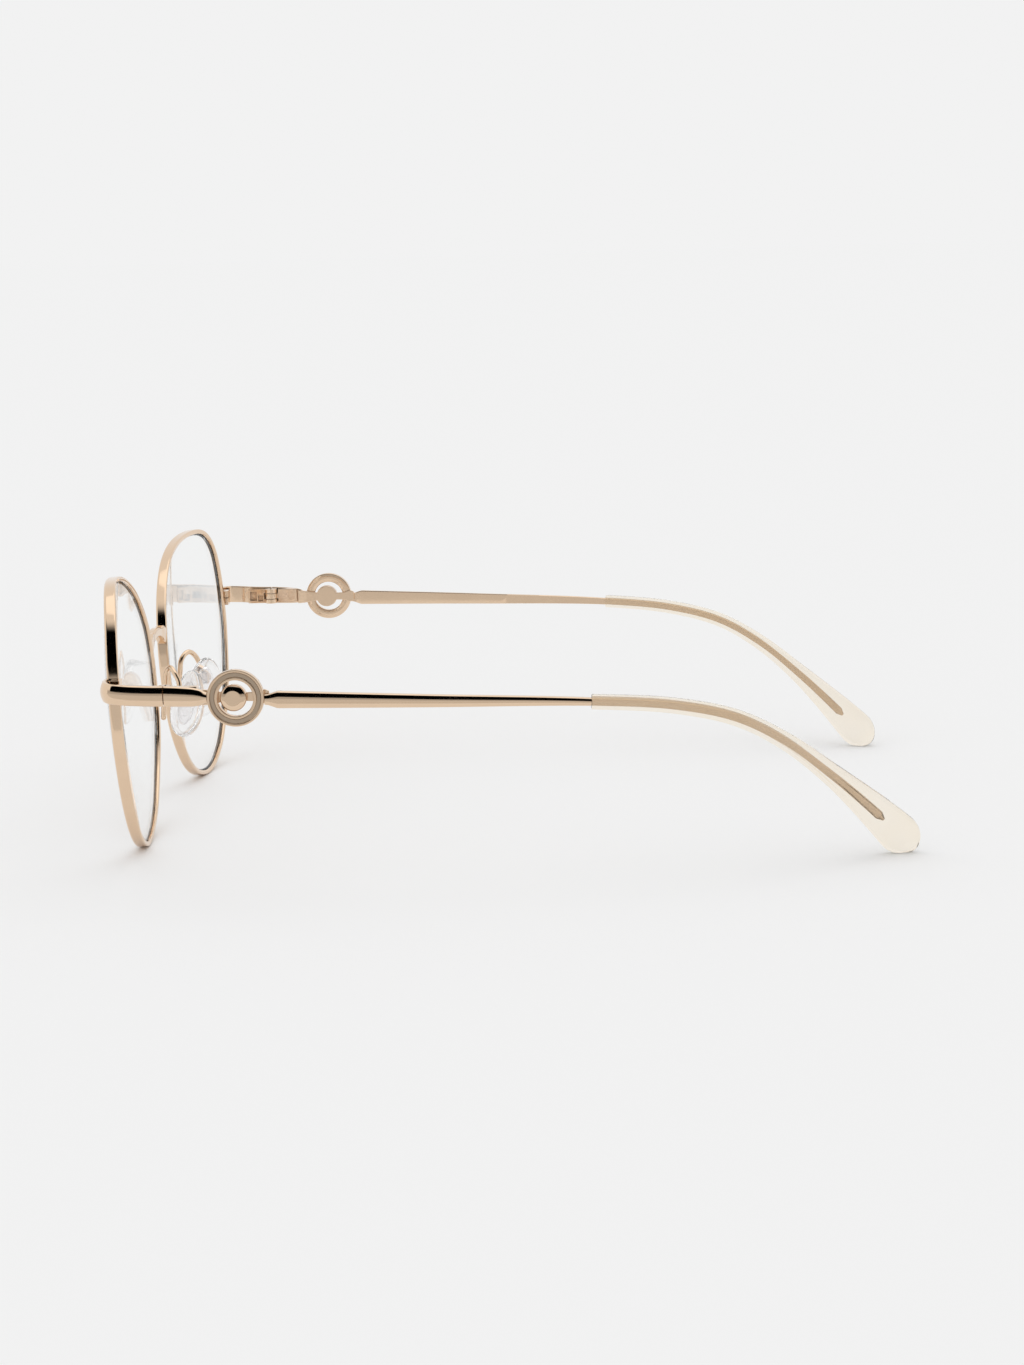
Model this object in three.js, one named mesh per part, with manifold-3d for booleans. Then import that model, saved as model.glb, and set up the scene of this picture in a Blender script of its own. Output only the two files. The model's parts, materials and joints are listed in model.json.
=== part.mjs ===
// Full-rim metal eyeglasses with a ring ornament on each temple, standing open on a table.
//
// Millimetres. +X is the wearer's left, +Y runs back from the lenses to the ears, +Z is up.
// Each piece is drawn for the wearer's left side; the right side is the same pieces mirrored in X.
// While it is drawn, Y is measured from the hinge screws. At the end the whole group is moved so that
// its origin is the middle of the box it stands in, on the table.

import * as THREE from "three";
import Module from "manifold-3d";
import { mergeVertices } from "three/addons/utils/BufferGeometryUtils.js";

const wasm = await Module();
wasm.setup();

const V = (x, y, z) => new THREE.Vector3(x, y, z);
const rad = THREE.MathUtils.degToRad;
const lerp = THREE.MathUtils.lerp;

// Clearances
const JOINT_GAP = 0.05; // between pieces that are soldered or glued together
const PLAY = 0.07; // radial play of a screw in its hole
const TABLE = 0; // height of the table; what would reach below it is worn flat

// Lens and rim
const LENS_CENTRE = V(32.9, -15.7, 24.15);
const FACE_WRAP = rad(3.8); // how far each lens turns back at the temple
const LENS_TILT = rad(4.1); // how far the top of each lens leans forward
const BASE_RADIUS = 106; // the lens's front curve from side to side
const UPRIGHT_RADIUS = 140; // and from top to bottom
const RIM_STATIONS = 64;
const RIM_DEPTH = 2.1;
const RIM_WALL = 0.95;
const GROOVE_DEPTH = 0.4;
const GROOVE_HALF = 0.45;
const GROOVE_AT = 0.95; // from the rim's front edge
const LENS_THICK = 1.5;
const BEVEL_HALF = 0.34;
const LENS_PLAY = 0.09;
const SPLIT_HEIGHT = 33.45; // where the rim is cut to let the lens in
const SPLIT_GAP = 0.16;

// The rim's outer outline seen from the front, from the temple side down and round by the nose.
const OUTLINE = [
  [26.1, 5], [25.3, -2.5], [23.2, -9.5], [19.2, -15.8], [13, -21.4], [4.5, -24.6], [-4.5, -24.2],
  [-13, -20.9], [-19.8, -14.7], [-24.3, -7.5], [-25.9, 1], [-25.2, 9], [-21.8, 15.4], [-15, 21],
  [-5.5, 24.4], [6, 25.7], [15.5, 24.8], [21.6, 20.6], [25, 13.5],
];

// Bridge
const BRIDGE_REACH = 8.1; // half its length
const BRIDGE_CENTRE = V(0, -13.7, 34.5);
const BRIDGE_DROP = 1.9; // how far its ends lie below its middle
const BRIDGE_HIGH = [0.9, 1.75]; // half height at the middle and at the ends
const BRIDGE_DEEP = [0.75, 0.9];
const BRIDGE_RINGS = 6; // on each side of the middle
const BRIDGE_SIDES = 12;

// Rim lock: the two blocks that close the rim, one above and one below the split
const LOCK_AT = V(60.1, -9.7, SPLIT_HEIGHT); // its screw's axis
const LOCK_X = [58.6, 61.3];
const LOCK_Y = [-11.55, -8.55];
const LOCK_HIGH = 1.42;
const LOCK_SCREW_R = 0.45;
const LOCK_HEAD_R = 0.7;
const LOCK_HEAD = 0.4;

// Hinge
const PIVOT = V(64.55, 0, 32.95); // the hinge screw's axis is upright through here
const KNUCKLE_R = 1.3;
const KNUCKLE_GAP = 0.06;
const MIDDLE_KNUCKLE = 1.15; // height of the temple's knuckle
const HINGE_HEIGHT = 3.1;
const LEAF_THICK = 1.4;
const LEAF_CLEAR = 1.5; // a leaf stays this far from the axis at the other leaf's knuckles
const FRONT_LEAF = 5.0; // lengths from the axis
const TEMPLE_LEAF = 5.6;
const HINGE_SCREW_R = 0.55;
const SCREW_HEAD_R = 0.92;
const SCREW_HEAD = 0.42;
const POCKET = { y: [-4.6, -3.15], z: [-0.95, 0.95], deep: 0.75 }; // the two recesses in the front leaf
const STEP = { y: [-2.85, -1.75], z: [-1.1, 0.15], deep: 0.6 };
const SLOT_WIDE = 0.26;
const SLOT_DEEP = 0.2;

// Temple
const PLATE_THICK = 1.4;
const PLATE_INSIDE = PIVOT.x + KNUCKLE_R + JOINT_GAP; // X of the plates' inner faces
const PLATE_OUTSIDE = PLATE_INSIDE + PLATE_THICK;
const PLATE_HEIGHT = 3.5;
const END_PIECE_LINE = [
  [61.35, -11.75], [64.3, -11.3], [66.5, -9.7], [PLATE_OUTSIDE, -6.9], [PLATE_OUTSIDE, -4],
  [PLATE_OUTSIDE, -JOINT_GAP / 2],
]; // the outer face of the end piece, seen from above
const END_PIECE_STEPS = 14;
const RING_CENTRE = V(PLATE_INSIDE, 12.4, 32.5);
const RING_R = 4.9;
const RING_HOLE_R = 3.1;
const RING_THICK = 1.45;
const CHANNEL = [3.62, 4.42]; // inner and outer radius of the ring's inlaid channel
const CHANNEL_DEEP = 0.4;
const INLAY_THICK = 0.22;
const CROSSBAR_THICK = 0.7;
const DISC_R = 2.2;
const DISC_AT = -0.4; // the disc sits this far forward of the ring's centre
const BUTTON_R = 2.4;
const BUTTON_PROFILE = [[0, 0.95], [1, 0.95], [1.22, 0.9], [1.56, 0.6], [1.6, 0.5]]; // height, share of R
const CORE_HEIGHT = 1.25;
const CORE_THICK = 1.0;

// Nose pads
const PAD_CENTRE = V(9.5, -6, 22);
const PAD_SPLAY = rad(28);
const PAD_LEAN = rad(20);
const PAD_LONG = 13;
const PAD_WIDE = 7.2;
const PAD_PIN = V(0, 1.5, -1.9); // in the pad's own frame: x across, y along, z towards the nose
const PAD_PIN_R = 0.38;
const LUG_THICK = 0.9;
const LUG_R = 0.75;
const INSERT_LONG = 8.4;
const INSERT_WIDE = 3.5;
const INSERT_FROM = -0.88;
const INSERT_TO = -0.2;
const INSERT_PLAY = 0.1;
const STEM_HALF = 0.62; // half length of the stem between the insert and its lug
const CHEEK = 0.42; // the clevis's two walls
const CHEEK_PLAY = 0.1;
const CLEVIS_HALF = 1.0; // half its length
const CLEVIS_BASE = 0.5;
const CLEVIS_TOP = -1.25;
const CLEVIS_FLOOR = PAD_PIN.z - LUG_R - 0.12;
const PAD_HEAD_R = 0.62;
const PAD_HEAD = 0.32;
const ARM_R = 0.5;
const ARM_SIDES = 10;
const ARM_STEPS = 30;

const BORE_REACH = 3; // a hole's cutter runs this far each way, past both faces

// Materials
const metal = (colour, roughness) =>
  new THREE.MeshStandardMaterial({ color: colour, roughness, metalness: 1 });
const GOLD = metal(0xdcb898, 0.16);
const STEEL = metal(0xb9a99a, 0.3);
const INLAY = new THREE.MeshStandardMaterial({ color: 0xa08f7f, roughness: 0.35, metalness: 0.4 });
const clear = (colour, roughness, opacity) =>
  new THREE.MeshStandardMaterial({ color: colour, roughness, opacity, transparent: true });
const LENS = clear(0xf6faf8, 0.03, 0.2);
const SILICONE = clear(0xf4f2f2, 0.2, 0.5);
const ACETATE = clear(0xf3e6d2, 0.12, 0.6);

// ---- Solids -------------------------------------------------------------------------------------

// A three.js geometry as a manifold-3d solid.
function solid(geometry) {
  const bare = new THREE.BufferGeometry().setAttribute("position", geometry.getAttribute("position"));
  if (geometry.index) bare.setIndex(geometry.index);
  const merged = mergeVertices(bare, 1e-4);
  return new wasm.Manifold(
    new wasm.Mesh({
      numProp: 3,
      vertProperties: merged.attributes.position.array,
      triVerts: new Uint32Array(merged.index.array),
    }),
  );
}

// A manifold-3d solid as a three.js geometry.
function geometryOf(made) {
  const { vertProperties, triVerts, numProp, numVert } = made.getMesh();
  const points = new Float32Array(numVert * 3);
  for (let i = 0; i < numVert; i++) {
    points.set(vertProperties.subarray(i * numProp, i * numProp + 3), i * 3);
  }
  const g = new THREE.BufferGeometry();
  g.setAttribute("position", new THREE.BufferAttribute(points, 3));
  g.setIndex(new THREE.BufferAttribute(new Uint32Array(triVerts), 1));
  g.computeVertexNormals();
  return g;
}

// Skins a row of rings of points. Open ends are closed with a fan; a closed row joins up with itself.
function loft(rings, closed = false) {
  const n = rings[0].length;
  const points = rings.flat();
  const index = [];
  const strips = closed ? rings.length : rings.length - 1;
  for (let i = 0; i < strips; i++) {
    const a = i * n;
    const b = ((i + 1) % rings.length) * n;
    for (let j = 0; j < n; j++) {
      const k = (j + 1) % n;
      index.push(a + j, b + j, b + k, a + j, b + k, a + k);
    }
  }
  if (!closed) {
    for (const [ring, from, turn] of [[rings[0], 0, 1], [rings.at(-1), (rings.length - 1) * n, 0]]) {
      const middle = ring.reduce((sum, p) => sum.add(p), V(0, 0, 0)).divideScalar(n);
      const m = points.push(middle) - 1;
      for (let j = 0; j < n; j++) {
        const k = (j + 1) % n;
        index.push(m, from + (turn ? j : k), from + (turn ? k : j));
      }
    }
  }
  const g = new THREE.BufferGeometry().setFromPoints(points);
  g.setIndex(index);
  const made = solid(g);
  if (made.volume() > 0) return made;
  for (let i = 0; i < index.length; i += 3) [index[i + 1], index[i + 2]] = [index[i + 2], index[i + 1]];
  return solid(g.setIndex(index));
}

// A box between two corners.
function block(low, high) {
  const size = high.clone().sub(low);
  const middle = low.clone().add(high).multiplyScalar(0.5);
  return solid(new THREE.BoxGeometry(...size.toArray()).translate(...middle.toArray()));
}

// A round bar of radius r about an axis through a point, from low to high along it.
function round(r, axis, at, low, high, sides = 20) {
  const g = new THREE.CylinderGeometry(r, r, high - low, sides);
  g.translate(0, (low + high) / 2, 0);
  g.applyQuaternion(new THREE.Quaternion().setFromUnitVectors(V(0, 1, 0), axis));
  return solid(g.translate(...at.toArray()));
}

// A flat ring or a plate of an outline, standing in the YZ plane, from x to x + thick.
function plateYZ(shape, x, thick, curveSegments = 24) {
  const g = new THREE.ExtrudeGeometry(shape, { depth: thick, bevelEnabled: false, curveSegments });
  g.applyMatrix4(new THREE.Matrix4().makeBasis(V(0, 1, 0), V(0, 0, 1), V(1, 0, 0)));
  return solid(g.translate(x, 0, 0));
}

const UP = V(0, 0, 1);
const OUT = V(1, 0, 0);

// ---- Lens and rim -------------------------------------------------------------------------------

const toFace = new THREE.Matrix4().makeRotationZ(FACE_WRAP);
toFace.multiply(new THREE.Matrix4().makeRotationX(LENS_TILT));

// A point of the lens's own frame: u towards the temple, v up, depth back from the front curve.
function lensPoint(u, v, depth) {
  const back = (u * u) / (2 * BASE_RADIUS) + (v * v) / (2 * UPRIGHT_RADIUS) + depth;
  return V(u, back, v).applyMatrix4(toFace).add(LENS_CENTRE);
}

const outline = new THREE.CatmullRomCurve3(OUTLINE.map(([u, v]) => V(u, v, 0)), true, "catmullrom", 0.5);
outline.arcLengthDivisions = 800;
const stations = Array.from({ length: RIM_STATIONS }, (_, i) => {
  const at = outline.getPointAt(i / RIM_STATIONS);
  const along = outline.getTangentAt(i / RIM_STATIONS);
  return { at, inward: V(along.y, -along.x, 0) };
});

// One station's points at the given insets from the outer outline and depths from the front.
const section = ({ at, inward }, corners) =>
  corners.map(([inset, depth]) => lensPoint(at.x + inward.x * inset, at.y + inward.y * inset, depth));

// A ring of points inside the outline, on the lens's curve.
const insideRing = (share, depth) =>
  stations.map(({ at }) => lensPoint(at.x * share, at.y * share, depth));

const standing = (rings) => rings.map((ring) => ring.map((p) => V(p.x, p.y, Math.max(p.z, TABLE))));

function rim() {
  const corners = [
    [0, 0],
    [0, RIM_DEPTH],
    [RIM_WALL, RIM_DEPTH],
    [RIM_WALL, GROOVE_AT + GROOVE_HALF],
    [RIM_WALL - GROOVE_DEPTH, GROOVE_AT],
    [RIM_WALL, GROOVE_AT - GROOVE_HALF],
    [RIM_WALL, 0],
  ];
  const hoop = loft(standing(stations.map((s) => section(s, corners))), true);
  const cut = block(V(54, -20, SPLIT_HEIGHT - SPLIT_GAP / 2), V(64, -4, SPLIT_HEIGHT + SPLIT_GAP / 2));
  return hoop.subtract(cut);
}

function lens() {
  const edge = RIM_WALL + LENS_PLAY;
  const front = GROOVE_AT - LENS_THICK / 2;
  const back = GROOVE_AT + LENS_THICK / 2;
  const bevel = [
    [edge, front],
    [edge, GROOVE_AT - BEVEL_HALF],
    [RIM_WALL - GROOVE_DEPTH + LENS_PLAY, GROOVE_AT],
    [edge, GROOVE_AT + BEVEL_HALF],
    [edge, back],
  ];
  const edgeRings = bevel.map((corner) => stations.map((s) => section(s, [corner])[0]));
  return loft([insideRing(0.5, front), ...edgeRings, insideRing(0.5, back)]);
}

// The whole slab that a rim and its lens fill, a little larger: what fits round the rim is cut by it.
function rimSlab() {
  const front = -JOINT_GAP;
  const back = RIM_DEPTH + JOINT_GAP;
  const edge = (depth) => stations.map((s) => section(s, [[-JOINT_GAP, depth]])[0]);
  return loft([insideRing(0.7, front), edge(front), edge(back), insideRing(0.7, back)]);
}

// ---- Front --------------------------------------------------------------------------------------

function bridge() {
  const rings = [];
  for (let i = -BRIDGE_RINGS; i <= BRIDGE_RINGS; i++) {
    const share = i / BRIDGE_RINGS;
    const flare = THREE.MathUtils.smoothstep(Math.abs(share), 0.45, 0.85);
    const high = lerp(...BRIDGE_HIGH, flare);
    const deep = lerp(...BRIDGE_DEEP, flare);
    const middle = V(share * BRIDGE_REACH, 0, -BRIDGE_DROP * share * share).add(BRIDGE_CENTRE);
    rings.push(
      Array.from({ length: BRIDGE_SIDES }, (_, j) => {
        const a = (j / BRIDGE_SIDES) * 2 * Math.PI;
        return V(middle.x, middle.y + deep * Math.cos(a), middle.z + high * Math.sin(a));
      }),
    );
  }
  const slab = rimSlab();
  const mirrored = slab.mirror([1, 0, 0]);
  return loft(rings).subtract(slab).subtract(mirrored);
}

// A bar's section: flat inside, crowned outside. across points outwards, up is the bar's height.
function barSection(middle, across, up, high, thick) {
  const corners = [
    [-0.5, -0.36], [-0.5, 0.02], [-0.36, 0.3], [0, 0.5], [0.36, 0.3],
    [0.5, 0.02], [0.5, -0.36], [0.42, -0.5], [-0.42, -0.5],
  ];
  return corners.map(([h, t]) =>
    middle.clone().addScaledVector(up, h * high).addScaledVector(across, t * thick),
  );
}

// The end piece wraps from the front of the rim round the corner and back to the hinge.
function endPiece() {
  const outside = new THREE.CatmullRomCurve3(END_PIECE_LINE.map(([x, y]) => V(x, y, 0)));
  const steps = END_PIECE_STEPS;
  const rings = [];
  for (let i = 0; i <= steps; i++) {
    const share = i / steps;
    const p = outside.getPointAt(share);
    const along = i === 0 ? OUT : i === steps ? V(0, 1, 0) : outside.getTangentAt(share);
    const across = V(along.y, -along.x, 0);
    const middle = p.addScaledVector(across, -PLATE_THICK / 2);
    middle.z = lerp(SPLIT_HEIGHT, PIVOT.z, THREE.MathUtils.smoothstep(share, 0.2, 1));
    rings.push(barSection(middle, across, UP, PLATE_HEIGHT, PLATE_THICK));
  }
  return loft(rings).subtract(rimSlab());
}

// One of the two blocks that close the rim round the lens, each soldered to one cut end.
function lockBlock(side) {
  const near = SPLIT_GAP / 2;
  const [low, high] = side > 0 ? [near, near + LOCK_HIGH] : [-near - LOCK_HIGH, -near];
  let made = block(V(LOCK_X[0], LOCK_Y[0], LOCK_AT.z + low), V(LOCK_X[1], LOCK_Y[1], LOCK_AT.z + high));
  made = made.subtract(round(LOCK_SCREW_R + PLAY, UP, LOCK_AT, -BORE_REACH, BORE_REACH, 16));
  if (side < 0) {
    const recess = round(LOCK_HEAD_R + PLAY, UP, LOCK_AT, low - 1, low + LOCK_HEAD + PLAY, 16);
    made = made.subtract(recess);
  }
  return made.subtract(rimSlab());
}

// A screw along an axis: the head is at the low end, with a slot across it.
function screw(axis, across, at, r, headR, head, low, high) {
  const shaft = round(r, axis, at, low + head / 2, high, 16);
  const cap = round(headR, axis, at, low, low + head, 16);
  const slot = solid(new THREE.BoxGeometry(SLOT_WIDE, headR * 3, SLOT_DEEP * 2));
  const turn = new THREE.Matrix4().makeBasis(across.clone().cross(axis).negate(), across, axis);
  const foot = at.clone().addScaledVector(axis, low);
  turn.setPosition(foot);
  return shaft.add(cap).subtract(slot.transform(turn.toArray()));
}

function lockScrew() {
  const low = -SPLIT_GAP / 2 - LOCK_HIGH;
  return screw(UP, OUT, LOCK_AT, LOCK_SCREW_R, LOCK_HEAD_R, LOCK_HEAD, low, LOCK_HIGH);
}

// ---- Hinge --------------------------------------------------------------------------------------

const HALF_HINGE = HINGE_HEIGHT / 2;
const HALF_MIDDLE = MIDDLE_KNUCKLE / 2;
const LEAF_OUTSIDE = PIVOT.x + KNUCKLE_R;
const LEAF_INSIDE = LEAF_OUTSIDE - LEAF_THICK;

// A knuckle about the hinge's axis with the tab that joins it to its leaf, on the side of sign.
function knuckle(low, high, sign) {
  const barrel = round(KNUCKLE_R, UP, PIVOT, low, high, 24);
  const ys = [PIVOT.y, PIVOT.y + sign * (LEAF_CLEAR + 0.6)].sort((a, b) => a - b);
  const tab = block(V(LEAF_INSIDE, ys[0], PIVOT.z + low), V(LEAF_OUTSIDE, ys[1], PIVOT.z + high));
  return barrel.add(tab);
}

function frontLeaf() {
  const z = PIVOT.z;
  const foot = V(LEAF_INSIDE, PIVOT.y - FRONT_LEAF, z - HALF_HINGE);
  let made = block(foot, V(LEAF_OUTSIDE, PIVOT.y - LEAF_CLEAR, z + HALF_HINGE));
  made = made.add(knuckle(HALF_MIDDLE + KNUCKLE_GAP, HALF_HINGE, -1));
  made = made.add(knuckle(-HALF_HINGE, -HALF_MIDDLE - KNUCKLE_GAP, -1));
  for (const { y, z: at, deep } of [POCKET, STEP]) {
    const hollow = block(V(LEAF_INSIDE - 1, y[0], z + at[0]), V(LEAF_INSIDE + deep, y[1], z + at[1]));
    made = made.subtract(hollow);
  }
  const bore = round(HINGE_SCREW_R + PLAY, UP, PIVOT, -BORE_REACH, BORE_REACH);
  const recess = round(SCREW_HEAD_R + PLAY, UP, PIVOT, HALF_HINGE - SCREW_HEAD - PLAY, BORE_REACH);
  return made.subtract(bore).subtract(recess);
}

function templeLeaf() {
  const z = PIVOT.z;
  const foot = V(LEAF_INSIDE, PIVOT.y + LEAF_CLEAR, z - HALF_HINGE);
  let made = block(foot, V(LEAF_OUTSIDE, PIVOT.y + TEMPLE_LEAF, z + HALF_HINGE - 0.1));
  made = made.add(knuckle(-HALF_MIDDLE, HALF_MIDDLE, 1));
  return made.subtract(round(HINGE_SCREW_R + PLAY, UP, PIVOT, -BORE_REACH, BORE_REACH));
}

function hingeScrew() {
  const down = V(0, 0, -1);
  return screw(down, OUT, PIVOT, HINGE_SCREW_R, SCREW_HEAD_R, SCREW_HEAD, -HALF_HINGE, HALF_HINGE);
}

// ---- Temple -------------------------------------------------------------------------------------

const templeHeight = (y) => lerp(PIVOT.z, 32.1, y / 18.5); // the plate falls slightly towards the ear

// The plate from the hinge to the ring. It narrows to a neck where it meets the ring.
function templePlate() {
  const neck = RING_CENTRE.y - RING_R - JOINT_GAP;
  const outline = [[JOINT_GAP / 2, PLATE_HEIGHT], [3, 3.4], [5.2, 3.15], [6.3, 2.7], [7, 2], [neck, 1.8]];
  const x = PLATE_INSIDE + PLATE_THICK / 2;
  return loft(outline.map(([y, high]) => barSection(V(x, y, templeHeight(y)), OUT, UP, high, PLATE_THICK)));
}

const circle = (r, y = RING_CENTRE.y, z = RING_CENTRE.z) => new THREE.Shape().absarc(y, z, r, 0, 2 * Math.PI);

function annulus(inner, outer, x, thick) {
  const shape = circle(outer);
  shape.holes.push(circle(inner));
  return plateYZ(shape, x, thick);
}

function ring() {
  const made = annulus(RING_HOLE_R, RING_R, RING_CENTRE.x, RING_THICK);
  const face = RING_CENTRE.x + RING_THICK;
  return made.subtract(annulus(CHANNEL[0], CHANNEL[1], face - CHANNEL_DEEP, 1));
}

function ringInlay() {
  const floor = RING_CENTRE.x + RING_THICK - CHANNEL_DEEP;
  return annulus(CHANNEL[0] + JOINT_GAP, CHANNEL[1] - JOINT_GAP, floor + JOINT_GAP, INLAY_THICK);
}

// The strap behind the ring, with a disc in the ring's hole. It ties the plate to the rod.
function crossbar() {
  const c = RING_CENTRE;
  const disc = c.y + DISC_AT;
  const strap = new THREE.Shape();
  const half = [
    [5.75, 1.4], [7.2, 1.3], [disc - 2, 0.85], [disc + 2, 0.75],
    [16, 0.8], [16.8, 1.2], [17.3, 1.2], [18, 0.9],
  ];
  half.forEach(([y, h], i) => (i ? strap.lineTo(y, c.z + h) : strap.moveTo(y, c.z + h)));
  half.reverse().forEach(([y, h]) => strap.lineTo(y, c.z - h));
  strap.closePath();
  const inside = PLATE_INSIDE - JOINT_GAP - CROSSBAR_THICK;
  const tail = plateYZ(strap, inside, CROSSBAR_THICK);
  return tail.add(plateYZ(circle(DISC_R, disc, c.z), inside, CROSSBAR_THICK));
}

// The polished button on the disc, seen through the ring.
function button() {
  const base = PLATE_INSIDE;
  const y = RING_CENTRE.y + DISC_AT;
  return loft(
    BUTTON_PROFILE.map(([x, share]) =>
      Array.from({ length: 28 }, (_, i) => {
        const a = (i / 28) * 2 * Math.PI;
        const r = BUTTON_R * share;
        return V(base + x, y + r * Math.cos(a), RING_CENTRE.z + r * Math.sin(a));
      }),
    ),
  );
}

// The line along the middle of the rod, its core and the tip, from the ring to the end of the tip.
const rodLine = new THREE.CatmullRomCurve3(
  [
    V(66.55, 17.35, 32.1),
    V(66.1, 45.5, 31.25),
    V(64.4, 72.7, 30.3),
    V(62.2, 87, 28.95),
    V(59.9, 97.5, 26.25),
    V(57.5, 106, 21.5),
    V(55.1, 114, 15),
    V(52.8, 121, 8.45),
    V(50.2, 128.6, 0.6),
  ],
  false,
  "centripetal",
);
rodLine.arcLengthDivisions = 600;
const ROD_LENGTH = rodLine.getLength();
const SLEEVE_AT = 55.6; // along the line, where the tip's sleeve starts
const CORE_END = ROD_LENGTH - 8.4;
const TIP_LENGTH = ROD_LENGTH - SLEEVE_AT;

// The frame of the line at a distance along it: the point, outwards and upwards across the line.
function lineFrame(distance) {
  const share = THREE.MathUtils.clamp(distance / ROD_LENGTH, 0, 1);
  const at = rodLine.getPointAt(share);
  const along = rodLine.getTangentAt(share);
  const across = OUT.clone().addScaledVector(along, -OUT.dot(along)).normalize();
  return { at, across, up: across.clone().cross(along) };
}

// Interpolates rows of [distance, value, ...].
function profile(rows, distance) {
  const i = Math.max(0, rows.findLastIndex((row) => row[0] <= distance));
  if (i === rows.length - 1) return rows[i].slice(1);
  const share = (distance - rows[i][0]) / (rows[i + 1][0] - rows[i][0]);
  return rows[i].slice(1).map((value, k) => lerp(value, rows[i + 1][k + 1], share));
}

// Height and thickness of the rod and its core along the line.
const ROD_PROFILE = [
  [0, 1.8, 1.3],
  [0.6, 1.9, 1.35],
  [2.2, 2.95, 1.4],
  [SLEEVE_AT - 0.15, 1.4, 1.2],
  [SLEEVE_AT + 0.1, CORE_HEIGHT, CORE_THICK],
  [CORE_END - 2, CORE_HEIGHT, CORE_THICK],
  [CORE_END, 0.4, 0.6],
];

// The rod with its core wire, which runs on inside the tip.
function rod() {
  const at = [0, 0.6, 1.1, 1.6, 2.2, 9, 18, 27, 36, 45, SLEEVE_AT - 0.15, SLEEVE_AT + 0.1];
  for (let d = SLEEVE_AT + 5; d < CORE_END - 3; d += 4.5) at.push(d);
  at.push(CORE_END - 2, CORE_END);
  return loft(
    at.map((distance) => {
      const [high, thick] = profile(ROD_PROFILE, distance);
      const { at: middle, across, up } = lineFrame(distance);
      return barSection(middle, across, up, high, thick);
    }),
  );
}

// Half height and half thickness of the tip along its own length.
const PADDLE_R = 3.65;
const TIP_PROFILE = [
  [0, 1.3, 1.25],
  [20, 1.4, 1.25],
  [35, 1.55, 1.25],
  [45, 1.9, 1.2],
  [52, 2.5, 1.15],
  [58, 3.15, 1.1],
  [TIP_LENGTH - PADDLE_R, PADDLE_R, 1.05],
  [TIP_LENGTH, PADDLE_R, 1.0],
];

function tipRing(distance, sides = 14) {
  const [high, thick] = profile(TIP_PROFILE, distance);
  const past = Math.max(0, (distance - (TIP_LENGTH - PADDLE_R)) / PADDLE_R);
  const close = Math.sqrt(Math.max(0, 1 - past * past)); // rounds the paddle's end
  const { at, across, up } = lineFrame(SLEEVE_AT + distance);
  return Array.from({ length: sides }, (_, i) => {
    const a = (i / sides) * 2 * Math.PI;
    const squarer = (value) => Math.sign(value) * Math.abs(value) ** 0.85;
    const p = at.clone().addScaledVector(up, high * close * squarer(Math.sin(a)));
    return p.addScaledVector(across, thick * Math.max(close, 0.25) ** 0.5 * squarer(Math.cos(a)));
  });
}

// The translucent sleeve over the core, drilled to take it, with a flat paddle behind the ear.
function tip() {
  const at = [0, 5, 10, 15, 19, 23, 27, 31, 35, 40, 45, 50, 54, 57, 60];
  const outer = at.filter((d) => d < TIP_LENGTH - PADDLE_R - 1);
  for (const share of [0, 0.35, 0.6, 0.8, 0.92, 0.985]) outer.push(TIP_LENGTH - PADDLE_R * (1 - share));
  const body = loft(standing(outer.map((d) => tipRing(d))));
  const bore = [-1, 5, 10, 14.5, 19, 23.5, 28, 32.5, 37, 41.5, 46, CORE_END - SLEEVE_AT + 0.3];
  const drill = loft(
    bore.map((d) => {
      const { at: middle, across, up } = lineFrame(SLEEVE_AT + d);
      return barSection(middle, across, up, CORE_HEIGHT + 0.3, CORE_THICK + 0.3);
    }),
  );
  return body.subtract(drill);
}

// ---- Nose pads ----------------------------------------------------------------------------------

const padAcross = V(-Math.sin(PAD_SPLAY), -Math.cos(PAD_SPLAY), 0);
const padPlan = V(-Math.cos(PAD_SPLAY), Math.sin(PAD_SPLAY), 0);
const padLong = UP.clone().multiplyScalar(Math.cos(PAD_LEAN)).addScaledVector(padPlan, Math.sin(PAD_LEAN));
const padFace = padAcross.clone().cross(padLong);
const padMatrix = new THREE.Matrix4().makeBasis(padAcross, padLong, padFace).setPosition(PAD_CENTRE);
const padPoint = (x, y, z) => V(x, y, z).applyMatrix4(padMatrix);

// An egg-shaped ring in the pad's own frame, wider towards its lower end.
function egg(long, wide, z, sides = 28) {
  return Array.from({ length: sides }, (_, i) => {
    const a = (i / sides) * 2 * Math.PI;
    const y = Math.sin(a);
    return V((wide / 2) * Math.cos(a) * (1 - 0.16 * y), (long / 2) * y, z);
  });
}

function nosePad() {
  const rows = [[0.86, -0.9], [1, -0.45], [1, 0.2], [0.9, 0.75], [0.68, 1.15], [0.35, 1.35]];
  const body = loft(rows.map(([share, z]) => egg(PAD_LONG * share, PAD_WIDE * share, z)));
  const long = INSERT_LONG + 2 * INSERT_PLAY;
  const wide = INSERT_WIDE + 2 * INSERT_PLAY;
  return body.subtract(loft([egg(long, wide, -2), egg(long, wide, INSERT_TO + INSERT_PLAY)]));
}

// The hard insert moulded into the pad, with the lug that its screw goes through.
function padInsert() {
  const half = LUG_THICK / 2;
  const plate = loft([INSERT_FROM, INSERT_TO].map((z) => egg(INSERT_LONG, INSERT_WIDE, z)));
  const lug = round(LUG_R, OUT, PAD_PIN, -half, half, 18);
  const inPlate = (INSERT_FROM + INSERT_TO) / 2;
  const stem = block(V(-half, PAD_PIN.y - STEM_HALF, PAD_PIN.z), V(half, PAD_PIN.y + STEM_HALF, inPlate));
  return plate.add(stem).add(lug).subtract(round(PAD_PIN_R + PLAY, OUT, PAD_PIN, -1, 1, 16));
}

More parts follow.
